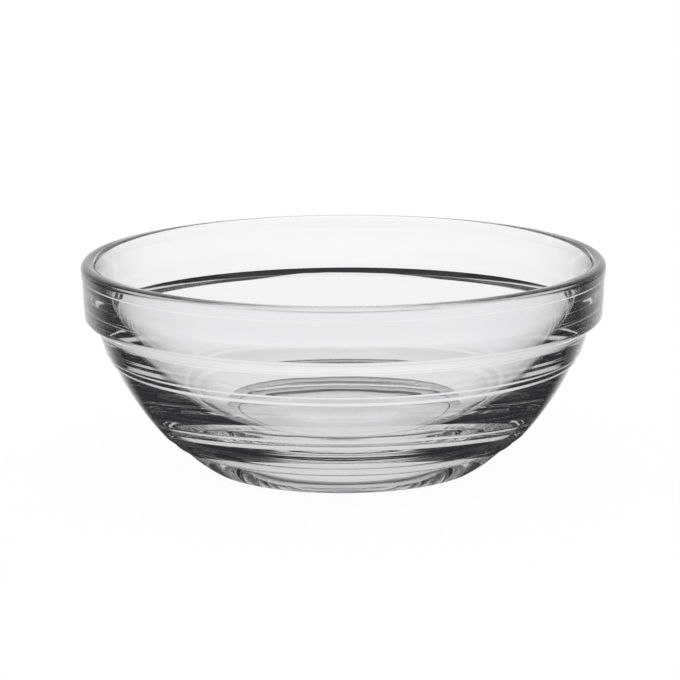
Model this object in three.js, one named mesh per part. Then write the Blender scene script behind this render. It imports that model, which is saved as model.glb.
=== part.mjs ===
// A clear pressed-glass bowl, in millimetres, standing on Z = 0 with its axis on +Z.
// It is one piece of glass: a smooth round inside, and an outside that comes down from
// the rim in four tiers. Under the tall top band is the overhang on which bowls stack.

import * as THREE from 'three';

// Rim: a rounded bead that stands a little proud of the band below it
const RIM_RADIUS = 70;
const RIM_THICKNESS = 3.7;
const RIM_ROUND = 1.8;
const BEAD_TAPER = 0.2;
const BEAD_HEIGHT = 3.6;
const BEAD_STEP_DEPTH = 0.22;
const BEAD_STEP_HEIGHT = 0.35;

// Band: the tall, nearly upright top tier, and the overhang below it
const BAND_TAPER = 0.56;
const BAND_HEIGHT = 11.1;
const BAND_CROWN = 0.07;
const OVERHANG_DEPTH = 3.62;
const OVERHANG_HEIGHT = 2.77;

// Shoulder: the short second tier, which ends in two small ledges
const SHOULDER_TAPER = 1.95;
const SHOULDER_HEIGHT = 6.48;
const SHOULDER_CROWN = 0.09;
const SHOULDER_LEDGE_DEPTH = 0.5;
const SHOULDER_LEDGE_HEIGHT = 0.5;
const SHOULDER_RISER_TAPER = 0.45;
const SHOULDER_RISER_HEIGHT = 1.2;
const SHOULDER_LOW_LEDGE_DEPTH = 0.95;
const SHOULDER_LOW_LEDGE_HEIGHT = 0.9;

// Body: the long third tier, which ends in two small ledges like the shoulder's
const BODY_TAPER = 12.7;
const BODY_HEIGHT = 19.25;
const BODY_CROWN = 0.92;
const BODY_LEDGE_DEPTH = 0.95;
const BODY_LEDGE_HEIGHT = 0.45;
const BODY_RISER_TAPER = 1.75;
const BODY_RISER_HEIGHT = 1.75;
const BODY_LOW_LEDGE_DEPTH = 1.75;
const BODY_LOW_LEDGE_HEIGHT = 0.8;

// Foot: the lowest tier, the flat ring that it stands on and the hollow inside that ring
const FOOT_TAPER = 8.2;
const FOOT_HEIGHT = 6.55;
const FOOT_CROWN = 0.365;
const BEARING_WIDTH = 4;
const HOLLOW_DEPTH = 0.4;
const HOLLOW_BEVEL = 0.5;

// Inside: a straight stretch that starts at the rim and heads for a place this far inside the
// band's lower edge, then one large arc down to a flat floor
const BAND_THICKNESS = 5.1;
const FLOOR_THICKNESS = 4.4;
const INSIDE_ROUND = 53.6;

// Edge rounding
const BAND_EDGE_ROUND = 1.8;
const WAIST_ROUND = 1.7;
const LEDGE_EDGE_ROUND = 0.5;
const BODY_EDGE_ROUND = 3;
const COVE_ROUND = 0.8;
const BEAD_EDGE_ROUND = 0.2;
const FOOT_EDGE_ROUND = 0.5;

// Fineness of the facets: how many there are round the axis, how far an arc's facets may lie
// inside it, and the most that one facet may turn
const SIDES = 60;
const CHORD_ERROR = 0.045;
const WIDEST_TURN = Math.PI / 2;

// The share of a straight stretch that the arcs at its two ends may take together
const STRETCH_SHARE = 0.98;

// The tiers and steps, each the height it comes down, add up to the height of the bowl
const HEIGHT = BEAD_HEIGHT + BEAD_STEP_HEIGHT + BAND_HEIGHT + OVERHANG_HEIGHT
  + SHOULDER_HEIGHT + SHOULDER_LEDGE_HEIGHT + SHOULDER_RISER_HEIGHT + SHOULDER_LOW_LEDGE_HEIGHT
  + BODY_HEIGHT + BODY_LEDGE_HEIGHT + BODY_RISER_HEIGHT + BODY_LOW_LEDGE_HEIGHT + FOOT_HEIGHT;

// A pen that leaves corners, each with the radius that its edge is rounded to.
// x is the distance from the axis and y the height.
class Pen {
  corners = [];

  // Draws a straight line to a place.
  to(x, y, round = 0) {
    this.corners.push({ at: new THREE.Vector2(x, y), round });
    return this;
  }

  // Draws a straight line inwards and down from the last corner.
  by(inwards, down, round = 0) {
    const { x, y } = this.last;
    return this.to(x - inwards, y - down, round);
  }

  // Draws a shallow arc inwards and down, which swells outwards by the crown in its middle.
  crowned(inwards, down, crown, round = 0) {
    const start = this.last;
    const outwards = new THREE.Vector2(down, -inwards).normalize();
    const steps = Math.max(1, Math.ceil(Math.sqrt(crown / CHORD_ERROR)));
    for (let step = 1; step < steps; step += 1) {
      const share = step / steps;
      const swell = 4 * crown * share * (1 - share);
      this.to(start.x - inwards * share + outwards.x * swell, start.y - down * share + outwards.y * swell);
    }
    return this.to(start.x - inwards, start.y - down, round);
  }

  get last() {
    return this.corners.at(-1).at;
  }
}

// Returns how many facets an arc needs.
function facets(radius, turn) {
  const finest = 2 * Math.acos(1 - Math.min(CHORD_ERROR / radius, 1));
  return Math.max(1, Math.ceil(turn / Math.min(finest, WIDEST_TURN)));
}

// Returns how far the outline turns at a corner, and the ways to its two neighbours.
function bendAt(corners, index) {
  const back = corners[index - 1].at.clone().sub(corners[index].at).normalize();
  const on = corners[index + 1].at.clone().sub(corners[index].at).normalize();
  return { back, on, turn: Math.PI - Math.acos(back.dot(on)) };
}

// Returns how far each corner's arc reaches along the stretches beside it. Arcs that
// share a stretch which is too short for both are made smaller until they fit.
function arcReaches(corners) {
  const wanted = corners.map(({ round }, index) => (
    round === 0 ? 0 : round * Math.tan(bendAt(corners, index).turn / 2)
  ));
  return corners.map(({ at, round }, index) => {
    if (round === 0) return 0;
    const fits = [index - 1, index + 1].map((neighbour) => {
      const stretch = at.distanceTo(corners[neighbour].at);
      return (STRETCH_SHARE * stretch) / (wanted[index] + wanted[neighbour]);
    });
    return wanted[index] * Math.min(1, ...fits);
  });
}

// Returns the points of an outline whose corners are rounded to arcs.
function roundCorners(corners) {
  const reaches = arcReaches(corners);
  return corners.flatMap(({ at, round }, index) => {
    if (round === 0) return [at];
    const { back, on, turn } = bendAt(corners, index);
    const radius = reaches[index] / Math.tan(turn / 2);
    const toCentre = back.clone().add(on).normalize();
    const centre = at.clone().addScaledVector(toCentre, radius / Math.cos(turn / 2));
    const first = at.clone().addScaledVector(back, reaches[index]);
    const way = -Math.sign(back.cross(on));
    const steps = facets(radius, turn);
    return Array.from({ length: steps + 1 }, (_, step) => (
      first.clone().rotateAround(centre, (way * turn * step) / steps)
    ));
  });
}

// The outside, from the rim's top edge down to the middle of the base
function outsideCorners() {
  const pen = new Pen().to(RIM_RADIUS, HEIGHT, RIM_ROUND);
  pen.by(BEAD_TAPER, BEAD_HEIGHT, BEAD_EDGE_ROUND);
  pen.by(BEAD_STEP_DEPTH, BEAD_STEP_HEIGHT, BEAD_EDGE_ROUND);
  pen.crowned(BAND_TAPER, BAND_HEIGHT, BAND_CROWN, BAND_EDGE_ROUND);
  pen.by(OVERHANG_DEPTH, OVERHANG_HEIGHT, WAIST_ROUND);
  pen.crowned(SHOULDER_TAPER, SHOULDER_HEIGHT, SHOULDER_CROWN, LEDGE_EDGE_ROUND);
  pen.by(SHOULDER_LEDGE_DEPTH, SHOULDER_LEDGE_HEIGHT, LEDGE_EDGE_ROUND);
  pen.by(SHOULDER_RISER_TAPER, SHOULDER_RISER_HEIGHT, LEDGE_EDGE_ROUND);
  pen.by(SHOULDER_LOW_LEDGE_DEPTH, SHOULDER_LOW_LEDGE_HEIGHT, COVE_ROUND);
  pen.crowned(BODY_TAPER, BODY_HEIGHT, BODY_CROWN, BODY_EDGE_ROUND);
  pen.by(BODY_LEDGE_DEPTH, BODY_LEDGE_HEIGHT, LEDGE_EDGE_ROUND);
  pen.by(BODY_RISER_TAPER, BODY_RISER_HEIGHT, LEDGE_EDGE_ROUND);
  pen.by(BODY_LOW_LEDGE_DEPTH, BODY_LOW_LEDGE_HEIGHT, COVE_ROUND);
  pen.crowned(FOOT_TAPER, FOOT_HEIGHT, FOOT_CROWN, FOOT_EDGE_ROUND);
  pen.by(BEARING_WIDTH, 0);
  pen.by(HOLLOW_BEVEL, -HOLLOW_DEPTH);
  return pen.to(0, HOLLOW_DEPTH).corners;
}

// The inside, from the middle of the floor up to the rim's inner edge
function insideCorners() {
  const rim = new THREE.Vector2(RIM_RADIUS - RIM_THICKNESS, HEIGHT);
  const band = RIM_RADIUS - BEAD_TAPER - BEAD_STEP_DEPTH - BAND_TAPER;
  const fall = BEAD_HEIGHT + BEAD_STEP_HEIGHT + BAND_HEIGHT;
  const slope = (rim.x - (band - BAND_THICKNESS)) / fall;
  const floor = HOLLOW_DEPTH + FLOOR_THICKNESS;
  const pen = new Pen().to(0, floor);
  pen.to(rim.x - slope * (rim.y - floor), floor, INSIDE_ROUND);
  return pen.to(rim.x, rim.y, RIM_ROUND).corners;
}

function glassBowl() {
  const outline = roundCorners([...insideCorners(), ...outsideCorners()]);
  const geometry = new THREE.LatheGeometry(outline.reverse(), SIDES);
  geometry.rotateX(Math.PI / 2);
  const glass = new THREE.MeshStandardMaterial({
    color: 0xe8edee, roughness: 0.04, metalness: 0, transparent: true, opacity: 0.35,
  });
  const bowl = new THREE.Mesh(geometry, glass);
  bowl.name = 'bowl';
  return bowl;
}

const part = new THREE.Group();
part.add(glassBowl());

export default part;
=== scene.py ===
"""A clear pressed-glass bowl on a white floor, in a bright studio with dark cards that it mirrors."""

import logging
import math
import random
from dataclasses import dataclass, field

import bpy
from mathutils import Matrix, Vector


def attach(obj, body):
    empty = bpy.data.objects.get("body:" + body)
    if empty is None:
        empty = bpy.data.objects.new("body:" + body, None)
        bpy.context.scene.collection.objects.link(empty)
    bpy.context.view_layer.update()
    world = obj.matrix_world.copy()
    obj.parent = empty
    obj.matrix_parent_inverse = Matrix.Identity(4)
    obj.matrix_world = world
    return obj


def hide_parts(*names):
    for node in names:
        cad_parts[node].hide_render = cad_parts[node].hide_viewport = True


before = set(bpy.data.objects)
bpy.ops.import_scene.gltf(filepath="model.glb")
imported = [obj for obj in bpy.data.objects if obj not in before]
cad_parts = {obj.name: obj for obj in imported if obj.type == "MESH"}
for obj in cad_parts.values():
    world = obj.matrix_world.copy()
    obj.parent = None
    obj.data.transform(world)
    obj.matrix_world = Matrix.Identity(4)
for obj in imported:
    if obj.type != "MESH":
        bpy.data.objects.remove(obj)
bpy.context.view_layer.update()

LOG = logging.getLogger("glass_bowl")

MM = 0.001

# How near two vertices of a spun line may be before they become one, and how many sides the
# stage's rounds have
MERGE_DISTANCE = 0.001 * MM
STAGE_SIDES = 128


class Socket:
    """An output of a node, on which Python's operators add Math nodes."""

    def __init__(self, tree: "Tree", output: bpy.types.NodeSocket) -> None:
        """Keeps the output and the tree that it is in."""
        self.tree = tree
        self.output = output

    def maths(self, operation: str, *values: "Socket | float") -> "Socket":
        """Adds a Math node.

        Args:
            operation: The node's operation.
            values: Its inputs, in order.

        Returns:
            The node's result.
        """
        return self.tree.add("ShaderNodeMath", {"operation": operation}, dict(enumerate(values)))

    def __add__(self, other: "Socket | float") -> "Socket":
        """Returns the sum."""
        return self.maths("ADD", self, other)

    def __sub__(self, other: "Socket | float") -> "Socket":
        """Returns the difference."""
        return self.maths("SUBTRACT", self, other)

    def __rsub__(self, other: float) -> "Socket":
        """Returns the difference, with the number first."""
        return self.maths("SUBTRACT", other, self)

    def __mul__(self, other: "Socket | float") -> "Socket":
        """Returns the product."""
        return self.maths("MULTIPLY", self, other)

    def either(self, other: "Socket") -> "Socket":
        """Returns the larger of the two values."""
        return self.maths("MAXIMUM", self, other)

    def capped(self) -> "Socket":
        """Returns the value, or 1 where it is larger."""
        return self.maths("MINIMUM", self, 1.0)

    def step(self, low: float, high: float) -> "Socket":
        """Adds a smooth step.

        Args:
            low: The value at which the step is 0.
            high: The value at which it is 1. It may be below the other one.

        Returns:
            The step, from 0 to 1.
        """
        settings = {"interpolation_type": "SMOOTHSTEP"}
        turned = low > high
        first, last = sorted((low, high))
        inputs = {"Value": self, "From Min": first, "From Max": last,
                  "To Min": float(turned), "To Max": float(not turned)}
        return self.tree.add("ShaderNodeMapRange", settings, inputs)


class Tree:
    """The node tree of a material or a world."""

    def __init__(self, owner: bpy.types.Material | bpy.types.World) -> None:
        """Empties the owner's node tree."""
        owner.use_nodes = True
        self.nodes = owner.node_tree.nodes
        self.links = owner.node_tree.links
        self.nodes.clear()

    def add(self, kind: str, settings: dict | None = None, inputs: dict | None = None,
            output: str | int = 0) -> Socket:
        """Adds a node.

        Args:
            kind: The node's type.
            settings: Its properties, by name.
            inputs: The values or links of its input sockets, by name or number.
            output: The name or number of the output that is wanted.

        Returns:
            That output.
        """
        node = self.nodes.new(kind)
        for name, value in (settings or {}).items():
            setattr(node, name, value)
        for name, value in (inputs or {}).items():
            if isinstance(value, Socket):
                self.links.new(value.output, node.inputs[name])
            else:
                node.inputs[name].default_value = value
        return Socket(self, node.outputs[output] if len(node.outputs) else None)


@dataclass(frozen=True)
class ClearGlass:
    """Clear pressed glass.

    It has faint cords, an uneven skin, a grainy line under the rim bead, small seeds and a scuffed foot.
    """

    name: str = "clear_pressed_glass"
    tint: tuple[float, float, float, float] = (0.980, 0.986, 0.997, 1.0)
    cord_tint: tuple[float, float, float, float] = (0.966, 0.974, 0.988, 1.0)
    refraction: float = 1.52

    noise_detail: float = 2.0
    cord_scale: float = 55.0
    cord_edges: tuple[float, float] = (0.45, 0.75)
    skin_scale: float = 420.0
    skin_height: float = 0.0015 * MM
    haze: float = 0.008
    haze_edges: tuple[float, float] = (0.5, 0.8)

    rim_grain_scale: float = 1500.0
    rim_grain_detail: float = 1.0
    rim_grain_height: float = 0.006 * MM
    rim_from: tuple[float, float] = (51.2 * MM, 51.6 * MM)
    rim_to: tuple[float, float] = (52.6 * MM, 52.2 * MM)

    seed_scale: float = 95.0
    seed_radius: tuple[float, float] = (0.03, 0.012)
    seed_share: tuple[float, float] = (0.80, 0.81)
    seed_height: float = 0.12 * MM

    scuff: float = 0.22
    scuff_to: tuple[float, float] = (0.5 * MM, 0.05 * MM)

    def noise(self, place: Socket, scale: float, detail: float) -> Socket:
        """Adds a cloudy pattern, from 0 to 1.

        Args:
            place: The place, in Object coordinates.
            scale: How many clouds there are in a metre.
            detail: How much finer detail they have.

        Returns:
            The pattern.
        """
        inputs = {"Vector": place, "Scale": scale, "Detail": detail}
        return place.tree.add("ShaderNodeTexNoise", inputs=inputs)

    def relief(self, place: Socket, height: Socket) -> Socket:
        """Adds up the relief of the skin, the rim's grain and the seeds.

        Args:
            place: The place, in Object coordinates.
            height: The height above the table.

        Returns:
            The relief, in metres.
        """
        skin = self.noise(place, self.skin_scale, self.noise_detail) * self.skin_height
        rim = height.step(*self.rim_from) * height.step(*self.rim_to)
        grain = self.noise(place, self.rim_grain_scale, self.rim_grain_detail) * rim
        cells = {"Vector": place, "Scale": self.seed_scale}
        away = place.tree.add("ShaderNodeTexVoronoi", inputs=cells, output="Distance")
        shade = place.tree.add("ShaderNodeTexVoronoi", inputs=cells, output="Color")
        lot = place.tree.add("ShaderNodeSeparateColor", inputs={"Color": shade})
        seeds = away.step(*self.seed_radius) * lot.step(*self.seed_share)
        return skin + grain * self.rim_grain_height + seeds * self.seed_height

    def material(self) -> bpy.types.Material:
        """Makes the material.

        Returns:
            The material.
        """
        material = bpy.data.materials.new(self.name)
        tree = Tree(material)
        place = tree.add("ShaderNodeTexCoord", output="Object")
        height = tree.add("ShaderNodeSeparateXYZ", inputs={0: place}, output="Z")
        cords = self.noise(place, self.cord_scale, self.noise_detail)
        tints = {"Factor": cords.step(*self.cord_edges), "A": self.tint, "B": self.cord_tint}
        colour = tree.add("ShaderNodeMix", {"data_type": "RGBA"}, tints, output="Result")
        haze = self.noise(place, self.skin_scale, self.noise_detail).step(*self.haze_edges) * self.haze
        relief = self.relief(place, height)
        normal = tree.add("ShaderNodeBump", inputs={"Distance": 1.0, "Height": relief})
        glass = tree.add("ShaderNodeBsdfPrincipled", inputs={
            "Base Color": colour, "Roughness": haze + height.step(*self.scuff_to) * self.scuff,
            "IOR": self.refraction, "Transmission Weight": 1.0, "Normal": normal})
        tree.add("ShaderNodeOutputMaterial", inputs={"Surface": glass})
        return material


def reach_of(place: Socket) -> Socket:
    """Returns how far a place, in Object coordinates, is from the origin."""
    return place.tree.add("ShaderNodeVectorMath", {"operation": "LENGTH"}, {0: place}, output="Value")


def rearward(place: Socket) -> Socket:
    """Finds the way from the axis to a place.

    Args:
        place: The place, in Object coordinates.

    Returns:
        1 straight behind the axis, -1 straight before it and 0 at its sides.
    """
    flattening = {0: place, 1: (1.0, 1.0, 0.0)}
    level = place.tree.add("ShaderNodeVectorMath", {"operation": "MULTIPLY"}, flattening)
    way = place.tree.add("ShaderNodeVectorMath", {"operation": "NORMALIZE"}, {0: level})
    return place.tree.add("ShaderNodeSeparateXYZ", inputs={0: way}, output="Y")


@dataclass(frozen=True)
class FloorWhite:
    """Matt white that keeps only part of a shadow's depth, and fades out round a circle."""

    name: str = "floor_white"
    white: tuple[float, float, float, float] = (1.0, 1.0, 1.0, 1.0)
    lift: float = 0.93
    fade: tuple[float, float] = (80.0 * MM, 250.0 * MM)

    def material(self) -> bpy.types.Material:
        """Makes the material.

        Returns:
            The material.
        """
        material = bpy.data.materials.new(self.name)
        tree = Tree(material)
        seen = tree.add("ShaderNodeLightPath", output="Is Camera Ray")
        for kind in ("Is Glossy Ray", "Is Transmission Ray"):
            seen = seen.either(tree.add("ShaderNodeLightPath", output=kind))
        matt = tree.add("ShaderNodeBsdfDiffuse", inputs={"Color": self.white})
        even = tree.add("ShaderNodeEmission", inputs={"Color": self.white})
        shown = tree.add("ShaderNodeMixShader", inputs={0: seen * self.lift, 1: matt, 2: even})
        place = tree.add("ShaderNodeTexCoord", output="Object")
        clear = tree.add("ShaderNodeBsdfTransparent")
        fading = reach_of(place).step(*self.fade)
        faded = tree.add("ShaderNodeMixShader", inputs={0: fading, 1: shown, 2: clear})
        tree.add("ShaderNodeOutputMaterial", inputs={"Surface": faded})
        return material


@dataclass(frozen=True)
class Stripes:
    """Soft stripes: where the first starts, how far apart they are, and the edges that narrow them."""

    start: float
    period: float
    edges: tuple[float, float]

    def across(self, way: Socket) -> Socket:
        """Adds the stripes.

        Args:
            way: The distance along which they follow each other.

        Returns:
            1 in a stripe and 0 between them.
        """
        wave = way.maths("SINE", (way - self.start) * (math.tau / self.period))
        return wave.step(*self.edges)


@dataclass(frozen=True)
class StudioCard:
    """Dark card round the bowl, through which the white surround shows.

    What the glass shows straight through itself finds the card clear, apart from its shaded parts, and
    what it mirrors inside itself finds it dark, apart from its lit parts. What its outside mirrors finds
    it clear at the back, and light on its way to the floor passes it.
    """

    name: str
    dark: tuple[float, float, float, float] = (0.026, 0.027, 0.030, 1.0)
    glint: tuple[float, float] = (0.9, 0.4)

    def straight(self, place: Socket) -> Socket | float:
        """Returns how dark the card is to what comes straight through the glass, from 0 to 1."""
        return 0.0

    def mirrored(self, place: Socket) -> Socket | float:
        """Returns how dark the card is to what the glass mirrors, from 0 to 1."""
        return 1.0

    def material(self) -> bpy.types.Material:
        """Makes the material.

        Returns:
            The material.
        """
        material = bpy.data.materials.new(self.name)
        tree = Tree(material)
        place = tree.add("ShaderNodeTexCoord", output="Object")
        mirrorings = tree.add("ShaderNodeLightPath", output="Glossy Depth").capped()
        crossings = tree.add("ShaderNodeLightPath", output="Transmission Depth").capped()
        bounces = tree.add("ShaderNodeLightPath", output="Diffuse Depth").capped()
        inside = crossings * self.mirrored(place) + (1.0 - crossings) * rearward(place).step(*self.glint)
        shade = mirrorings * inside + (1.0 - mirrorings) * self.straight(place)
        card = tree.add("ShaderNodeEmission", inputs={"Color": self.dark})
        clear = tree.add("ShaderNodeBsdfTransparent")
        shown = tree.add("ShaderNodeMixShader", inputs={0: shade * (1.0 - bounces), 1: clear, 2: card})
        tree.add("ShaderNodeOutputMaterial", inputs={"Surface": shown})
        return material


@dataclass(frozen=True)
class TableCard(StudioCard):
    """The table, lit under the bowl's foot, in front of it and in soft rings round it."""

    name: str = "table_card"
    glint: tuple[float, float] = (0.75, 0.25)
    near: tuple[float, float] = (66.0 * MM, 51.0 * MM)
    near_light: float = 0.75
    near_shade: float = 0.15
    far: tuple[float, float] = (66.0 * MM, 78.0 * MM)
    far_light: float = 0.6
    rings: Stripes = Stripes(65.0 * MM, 105.0 * MM, (0.2, 0.9))
    front: tuple[float, float] = (-0.45, -0.8)
    front_end: tuple[float, float] = (116.0 * MM, 92.0 * MM)

    def straight(self, place: Socket) -> Socket:
        """Returns the faint shade under the bowl."""
        return reach_of(place).step(*self.near) * self.near_shade

    def mirrored(self, place: Socket) -> Socket:
        """Returns the dark, less the lit parts."""
        reach = reach_of(place)
        near = reach.step(*self.near)
        front = rearward(place).step(*self.front) * reach.step(*self.front_end) * (1.0 - near)
        far = reach.step(*self.far) * self.rings.across(reach) * (1.0 - front)
        return 1.0 - near * self.near_light - front - far * self.far_light


@dataclass(frozen=True)
class WallCard(StudioCard):
    """The wall round the bowl, with a tall lit panel at the back.

    What comes straight from the side of the bowl that is near the wall finds it dark above a height.
    """

    name: str = "wall_card"
    lintel: tuple[float, float] = (138.0 * MM, 142.0 * MM)
    near_side: tuple[float, float] = (385.0 * MM, 345.0 * MM)
    back: tuple[float, float] = (0.90, 0.985)
    lit_from: tuple[float, float] = (85.0 * MM, 125.0 * MM)
    light: float = 0.8

    def height(self, place: Socket) -> Socket:
        """Returns the height above the table."""
        return place.tree.add("ShaderNodeSeparateXYZ", inputs={0: place}, output="Z")

    def straight(self, place: Socket) -> Socket:
        """Returns the dark above the height, for what comes from the near side of the bowl."""
        away = place.tree.add("ShaderNodeLightPath", output="Ray Length")
        return self.height(place).step(*self.lintel) * away.step(*self.near_side)

    def mirrored(self, place: Socket) -> Socket:
        """Returns the dark, less the panel's light."""
        panel = rearward(place).step(*self.back) * self.height(place).step(*self.lit_from)
        return 1.0 - panel * self.light


@dataclass(frozen=True)
class TopCard(StudioCard):
    """The dark ceiling."""

    name: str = "top_card"
    shade: float = 0.95

    def straight(self, place: Socket) -> float:
        """Returns the ceiling's shade."""
        return self.shade

    def mirrored(self, place: Socket) -> float:
        """Returns the ceiling's shade."""
        return self.shade


@dataclass(frozen=True)
class Surround:
    """The plain white studio."""

    white: tuple[float, float, float, float] = (1.0, 1.0, 1.0, 1.0)

    def build(self) -> None:
        """Makes the world."""
        world = bpy.data.worlds.new("studio")
        bpy.context.scene.world = world
        tree = Tree(world)
        light = tree.add("ShaderNodeBackground", inputs={"Color": self.white, "Strength": 1.0})
        tree.add("ShaderNodeOutputWorld", inputs={"Surface": light})


@dataclass(frozen=True)
class Corner:
    """A corner of an outline: its place, from the axis and up, and the radius that it is rounded to."""

    at: Vector
    rounding: float


class Outline:
    """Straight and crowned stretches with rounded corners, in the upright half plane beside the axis."""

    FACET_TURN = math.radians(9)
    FACET_LENGTH = 1.2 * MM
    STRETCH_LENGTH = 2.5 * MM
    CROWN_STEPS = 12
    STRETCH_SHARE = 0.98

    def __init__(self) -> None:
        """Starts with no corners."""
        self.corners: list[Corner] = []

    def to(self, radius: float, height: float, rounding: float = 0.0) -> "Outline":
        """Draws a straight line to a place.

        Args:
            radius: The place's distance from the axis.
            height: Its height.
            rounding: The radius that the corner there is rounded to.

        Returns:
            The outline.
        """
        self.corners.append(Corner(Vector((radius, height)), rounding))
        return self

    def by(self, inwards: float, down: float, rounding: float = 0.0) -> "Outline":
        """Draws a straight line inwards and down from the last corner.

        Args:
            inwards: How far it goes towards the axis.
            down: How far it goes down.
            rounding: The radius that the corner at its end is rounded to.

        Returns:
            The outline.
        """
        last = self.corners[-1].at
        return self.to(last.x - inwards, last.y - down, rounding)

    def crowned(self, inwards: float, down: float, crown: float, rounding: float = 0.0) -> "Outline":
        """Draws a shallow arc inwards and down, which swells outwards in its middle.

        Args:
            inwards: How far it goes towards the axis.
            down: How far it goes down.
            crown: How far it swells.
            rounding: The radius that the corner at its end is rounded to.

        Returns:
            The outline.
        """
        start = self.corners[-1].at.copy()
        outwards = Vector((down, -inwards)).normalized()
        for step in range(1, self.CROWN_STEPS):
            share = step / self.CROWN_STEPS
            swell = outwards * (4 * crown * share * (1 - share))
            self.to(start.x - inwards * share + swell.x, start.y - down * share + swell.y)
        return self.to(start.x - inwards, start.y - down, rounding)

    def bend(self, index: int) -> tuple[Vector, Vector, float]:
        """Measures a corner.

        Args:
            index: The corner's number.

        Returns:
            The ways to its two neighbours, and how far the outline turns there.
        """
        at = self.corners[index].at
        back = (self.corners[index - 1].at - at).normalized()
        on = (self.corners[index + 1].at - at).normalized()
        return back, on, math.pi - back.angle(on)

    def reaches(self) -> list[float]:
        """Works out how far each corner's arc reaches along the stretches beside it.

        Returns:
            The reaches, made smaller where two arcs share a stretch that is too short for both.
        """
        wanted = [corner.rounding and corner.rounding * math.tan(self.bend(index)[2] / 2)
                  for index, corner in enumerate(self.corners)]
        fitted = []
        for index, corner in enumerate(self.corners):
            fits = [1.0]
            for beside in (index - 1, index + 1) if corner.rounding else ():
                stretch = (self.corners[beside].at - corner.at).length
                fits.append(self.STRETCH_SHARE * stretch / (wanted[index] + wanted[beside]))
            fitted.append(wanted[index] * min(fits))
        return fitted

    def arc(self, index: int, reach: float) -> list[Vector]:
        """Rounds one corner.

        Args:
            index: The corner's number.
            reach: How far the arc reaches along the stretches beside it.

        Returns:
            The points of the arc, or the corner alone where it is sharp.
        """
        at = self.corners[index].at
        if not reach:
            return [at]
        back, on, turn = self.bend(index)
        radius = reach / math.tan(turn / 2)
        centre = at + (back + on).normalized() * (radius / math.cos(turn / 2))
        arm = at + back * reach - centre
        way = -math.copysign(turn, back.cross(on))
        steps = math.ceil(max(turn / self.FACET_TURN, radius * turn / self.FACET_LENGTH))
        return [centre + Matrix.Rotation(way * step / steps, 2) @ arm for step in range(steps + 1)]

    def points(self) -> list[Vector]:
        """Rounds the corners, and divides the long stretches.

        Returns:
            The points of the outline.
        """
        drawn: list[Vector] = []
        for index, reach in enumerate(self.reaches()):
            for point in self.arc(index, reach):
                if drawn:
                    start, way = drawn[-1], point - drawn[-1]
                    steps = math.ceil(way.length / self.STRETCH_LENGTH)
                    drawn += [start + way * (step / steps) for step in range(1, steps)]
                drawn.append(point)
        return drawn


def spun(name: str, line: list[Vector], turn: float, steps: int) -> bpy.types.Object:
    """Extrudes a point along a line and spins the line round the upright axis.

    Args:
        name: The object's name.
        line: The places that the point goes to.
        turn: How far the line is spun.
        steps: How many steps it takes.

    Returns:
        The object, whose faces point outwards.
    """
    bpy.ops.object.select_all(action="DESELECT")
    bpy.ops.mesh.primitive_plane_add(size=MM)
    shape = bpy.context.object
    shape.name = shape.data.name = name
    bpy.ops.object.mode_set(mode="EDIT")
    bpy.ops.mesh.merge(type="CENTER")
    bpy.ops.transform.translate(value=line[0])
    for start, end in zip(line, line[1:]):
        bpy.ops.mesh.extrude_region_move(TRANSFORM_OT_translate={"value": end - start})
    bpy.ops.mesh.select_all(action="SELECT")
    bpy.ops.mesh.spin(steps=steps, angle=-turn, center=(0.0, 0.0, 0.0), axis=(0.0, 0.0, 1.0))
    bpy.ops.mesh.select_all(action="SELECT")
    bpy.ops.mesh.remove_doubles(threshold=MERGE_DISTANCE)
    bpy.ops.mesh.normals_make_consistent(inside=False)
    bpy.ops.object.mode_set(mode="OBJECT")
    return shape


@dataclass(frozen=True)
class Tier:
    """A sloping stretch of the outside: how far it tapers, how tall it is and how far it swells."""

    taper: float
    height: float
    crown: float = 0.0


@dataclass(frozen=True)
class Ledge:
    """Two small steps at the foot of a tier, with a riser between them."""

    upper: Tier
    riser: Tier
    lower: Tier


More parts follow.
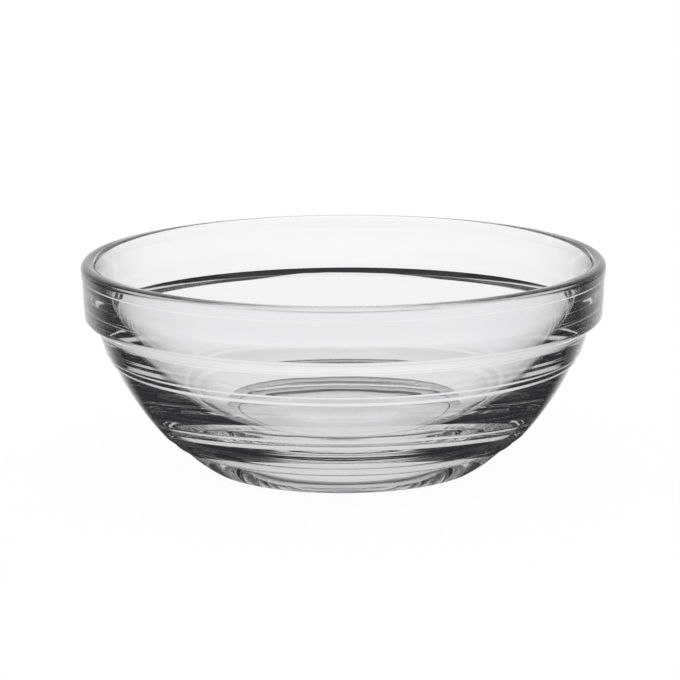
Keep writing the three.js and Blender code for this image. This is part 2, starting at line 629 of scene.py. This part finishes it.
@dataclass
class GlassBowl:
    """The bowl: a smooth round inside, and an outside that comes down from the rim in four tiers."""

    name: str = "glass_bowl"
    node: str = "bowl"
    slot: str = "clear_glass"

    rim_radius: float = 70.0 * MM
    rim_thickness: float = 3.7 * MM
    rim_round: float = 1.8 * MM
    bead: Tier = Tier(0.2 * MM, 3.6 * MM)
    bead_step: Tier = Tier(0.22 * MM, 0.35 * MM)
    band: Tier = Tier(0.56 * MM, 11.1 * MM, 0.07 * MM)
    overhang: Tier = Tier(3.62 * MM, 2.77 * MM)
    shoulder: Tier = Tier(1.95 * MM, 6.48 * MM, 0.09 * MM)
    shoulder_ledge: Ledge = Ledge(
        Tier(0.5 * MM, 0.5 * MM), Tier(0.45 * MM, 1.2 * MM), Tier(0.95 * MM, 0.9 * MM))
    body: Tier = Tier(12.7 * MM, 19.25 * MM, 0.92 * MM)
    body_ledge: Ledge = Ledge(
        Tier(0.95 * MM, 0.45 * MM), Tier(1.75 * MM, 1.75 * MM), Tier(1.75 * MM, 0.8 * MM))
    foot: Tier = Tier(8.2 * MM, 6.55 * MM, 0.365 * MM)
    bearing_width: float = 4.0 * MM
    bearing_edge: float = 0.5 * MM
    groove_depth: float = 0.1 * MM
    groove_share: float = 0.45
    hollow_depth: float = 0.4 * MM
    hollow_bevel: float = 0.5 * MM

    band_thickness: float = 5.1 * MM
    floor_thickness: float = 4.4 * MM
    inside_round: float = 53.6 * MM

    band_edge_round: float = 1.8 * MM
    waist_round: float = 1.7 * MM
    ledge_edge_round: float = 0.5 * MM
    body_edge_round: float = 3.0 * MM
    cove_round: float = 0.8 * MM
    bead_edge_round: float = 0.2 * MM
    foot_edge_round: float = 0.5 * MM

    ripple: float = 0.03 * MM
    ripple_size: float = 13.0 * MM

    sides: int = 360
    smooth_angle: float = math.radians(30)
    piece: bpy.types.Object | None = field(default=None, init=False)

    @property
    def height(self) -> float:
        """The bowl's height, which the tiers and steps add up to."""
        ledges = (self.shoulder_ledge, self.body_ledge)
        steps = [step for ledge in ledges for step in (ledge.upper, ledge.riser, ledge.lower)]
        tiers = [self.bead, self.bead_step, self.band, self.overhang, self.shoulder, self.body,
                 self.foot]
        return sum(tier.height for tier in tiers + steps)

    def draw_ledge(self, outline: Outline, ledge: Ledge) -> None:
        """Draws the two steps at the foot of a tier.

        Args:
            outline: The outline that they are added to.
            ledge: Their sizes.
        """
        outline.by(ledge.upper.taper, ledge.upper.height, self.ledge_edge_round)
        outline.by(ledge.riser.taper, ledge.riser.height, self.ledge_edge_round)
        outline.by(ledge.lower.taper, ledge.lower.height, self.cove_round)

    def draw_inside(self, outline: Outline) -> None:
        """Draws the inside, from the middle of its floor up to the rim.

        Args:
            outline: The outline that it is added to.
        """
        rim = Vector((self.rim_radius - self.rim_thickness, self.height))
        above = (self.bead, self.bead_step, self.band)
        inside = self.rim_radius - sum(tier.taper for tier in above) - self.band_thickness
        floor = self.hollow_depth + self.floor_thickness
        slope = (rim.x - inside) / sum(tier.height for tier in above)
        outline.to(0.0, floor)
        outline.to(rim.x - slope * (rim.y - floor), floor, self.inside_round)
        outline.to(rim.x, rim.y, self.rim_round)

    def draw_outside(self, outline: Outline) -> None:
        """Draws the outside, from the rim down to the middle of the base.

        Args:
            outline: The outline that it is added to.
        """
        outline.to(self.rim_radius, self.height, self.rim_round)
        outline.by(self.bead.taper, self.bead.height, self.bead_edge_round)
        outline.by(self.bead_step.taper, self.bead_step.height, self.bead_edge_round)
        outline.crowned(self.band.taper, self.band.height, self.band.crown, self.band_edge_round)
        outline.by(self.overhang.taper, self.overhang.height, self.waist_round)
        outline.crowned(self.shoulder.taper, self.shoulder.height, self.shoulder.crown,
                        self.ledge_edge_round)
        self.draw_ledge(outline, self.shoulder_ledge)
        outline.crowned(self.body.taper, self.body.height, self.body.crown, self.body_edge_round)
        self.draw_ledge(outline, self.body_ledge)
        outline.crowned(self.foot.taper, self.foot.height, self.foot.crown, self.foot_edge_round)
        for width in (self.bearing_edge, self.bearing_width - 2 * self.bearing_edge, self.bearing_edge):
            outline.by(width, 0.0)
        outline.by(self.hollow_bevel, -self.hollow_depth)
        outline.to(0.0, self.hollow_depth)

    def knurl(self) -> None:
        """Lifts short radial grooves, at uneven distances, into the ring that the bowl stands on."""
        chance = random.Random(self.name)
        grooves = {column for column in range(self.sides) if chance.random() < self.groove_share}
        level = self.groove_depth / 2
        reaches = [math.hypot(*vertex.co.xy) for vertex in self.piece.data.vertices
                   if abs(vertex.co.z) < level]
        inner, outer = min(reaches) + self.bearing_edge / 2, max(reaches) - self.bearing_edge
        bpy.ops.object.mode_set(mode="EDIT")
        bpy.ops.mesh.select_all(action="DESELECT")
        bpy.ops.object.mode_set(mode="OBJECT")
        for vertex in self.piece.data.vertices:
            column = round(math.atan2(vertex.co.y, vertex.co.x) / math.tau * self.sides) % self.sides
            in_ring = abs(vertex.co.z) < level and inner < math.hypot(*vertex.co.xy) < outer
            vertex.select = in_ring and column in grooves
        bpy.ops.object.mode_set(mode="EDIT")
        bpy.ops.transform.translate(value=(0.0, 0.0, self.groove_depth))
        bpy.ops.object.mode_set(mode="OBJECT")

    def settle(self) -> None:
        """Gives the faces the slight ripple of pressed glass."""
        clouds = bpy.data.textures.new("ripple", "CLOUDS")
        clouds.noise_scale = self.ripple_size
        rippling = self.piece.modifiers.new("rippling", "DISPLACE")
        rippling.texture = clouds
        rippling.strength = self.ripple
        bpy.ops.object.modifier_apply(modifier=rippling.name)

    def build(self) -> None:
        """Extrudes a point along the outline and spins that line round the axis."""
        outline = Outline()
        self.draw_inside(outline)
        self.draw_outside(outline)
        line = [Vector((point.x, 0.0, point.y)) for point in outline.points()]
        self.piece = spun(self.name, line, math.tau, self.sides)
        self.settle()
        self.knurl()
        bpy.ops.object.shade_smooth_by_angle(angle=self.smooth_angle)
        weighting = self.piece.modifiers.new("weighting", "WEIGHTED_NORMAL")
        weighting.keep_sharp = True
        bpy.ops.object.modifier_apply(modifier=weighting.name)
        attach(self.piece, "root")
        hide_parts(self.node)

    def dress(self, finish: ClearGlass) -> None:
        """Gives the bowl its finish.

        Args:
            finish: The glass.
        """
        self.piece.data.materials.clear()
        self.piece.data.materials.append(finish.material())


def disc(name: str, radius: float, height: float) -> bpy.types.Object:
    """Makes a level disc of the stage.

    Args:
        name: Its name.
        radius: Its radius.
        height: Its height.

    Returns:
        The disc.
    """
    bpy.ops.object.select_all(action="DESELECT")
    bpy.ops.mesh.primitive_circle_add(vertices=STAGE_SIDES, radius=radius, fill_type="NGON")
    made = bpy.context.object
    made.name = made.data.name = name
    bpy.ops.object.mode_set(mode="EDIT")
    bpy.ops.transform.translate(value=(0.0, 0.0, height))
    bpy.ops.object.mode_set(mode="OBJECT")
    return made


@dataclass
class Floor:
    """The white floor that the camera sees, with the bowl's shadow on it."""

    radius: float = 400.0 * MM
    drop: float = 0.3 * MM

    def build(self, finish: FloorWhite) -> None:
        """Makes the floor.

        Args:
            finish: Its finish.
        """
        floor = disc("floor", self.radius, -self.drop)
        floor.data.materials.append(finish.material())
        floor.visible_glossy = floor.visible_transmission = floor.visible_shadow = False


@dataclass
class Studio:
    """What the glass mirrors and bends: a table, a round wall and a ceiling."""

    radius: float = 350.0 * MM
    high: float = 700.0 * MM
    table_drop: float = 2.0 * MM

    def place(self, card: bpy.types.Object, finish: StudioCard) -> None:
        """Gives a card its finish, and lets only the glass show it.

        Args:
            card: The card.
            finish: Its finish.
        """
        card.data.materials.append(finish.material())
        card.visible_camera = card.visible_diffuse = card.visible_shadow = False

    def build(self, table: TableCard, wall: WallCard, top: TopCard) -> None:
        """Makes the three cards.

        Args:
            table: The table's finish.
            wall: The wall's finish.
            top: The ceiling's finish.
        """
        edge = [Vector((self.radius, 0.0, -self.table_drop)), Vector((self.radius, 0.0, self.high))]
        self.place(spun("wall", edge, math.tau, STAGE_SIDES), wall)
        self.place(disc("table", self.radius, -self.table_drop), table)
        self.place(disc("top", self.radius, self.high), top)


@dataclass
class PhotoCamera:
    """The camera: a long lens that looks down on the rim at a low angle."""

    lens: float = 189.7
    aim: Vector = field(default_factory=lambda: Vector((0.0, 0.0, 56.3 * MM)))
    distance: float = 955.0 * MM
    rise: float = math.radians(10.21)
    tip: float = math.radians(1.355)
    aside: float = -1.0 * MM
    roll: float = math.radians(-0.31)

    def build(self) -> None:
        """Places the camera and makes it the scene's."""
        data = bpy.data.cameras.new("camera")
        data.lens = self.lens
        camera = bpy.data.objects.new("camera", data)
        bpy.context.collection.objects.link(camera)
        back = Vector((0.0, -math.cos(self.rise), math.sin(self.rise)))
        camera.location = self.aim + back * self.distance + Vector((self.aside, 0.0, 0.0))
        upright = Matrix.Rotation(math.pi / 2 - self.rise - self.tip, 3, "X")
        camera.rotation_euler = (upright @ Matrix.Rotation(self.roll, 3, "Z")).to_euler()
        bpy.context.scene.camera = camera


@dataclass(frozen=True)
class Quality:
    """How often the light may turn, be mirrored and cross a face of the glass."""

    turns: int = 32
    mirrorings: int = 24
    crossings: int = 32

    def build(self) -> None:
        """Sets the view transform and the light's limits."""
        scene = bpy.context.scene
        scene.view_settings.view_transform = "Standard"
        scene.cycles.max_bounces = self.turns
        scene.cycles.glossy_bounces = self.mirrorings
        scene.cycles.transmission_bounces = self.crossings
        scene.cycles.use_denoising = True


def main() -> None:
    """Builds the bowl and the studio in order."""
    logging.basicConfig(level=logging.INFO)
    bowl = GlassBowl()
    bowl.build()
    bowl.dress(ClearGlass())
    LOG.info("%s: %d faces", bowl.name, len(bowl.piece.data.polygons))
    Floor().build(FloorWhite())
    Surround().build()
    Studio().build(TableCard(), WallCard(), TopCard())
    PhotoCamera().build()
    Quality().build()


if __name__ == "__main__":
    main()
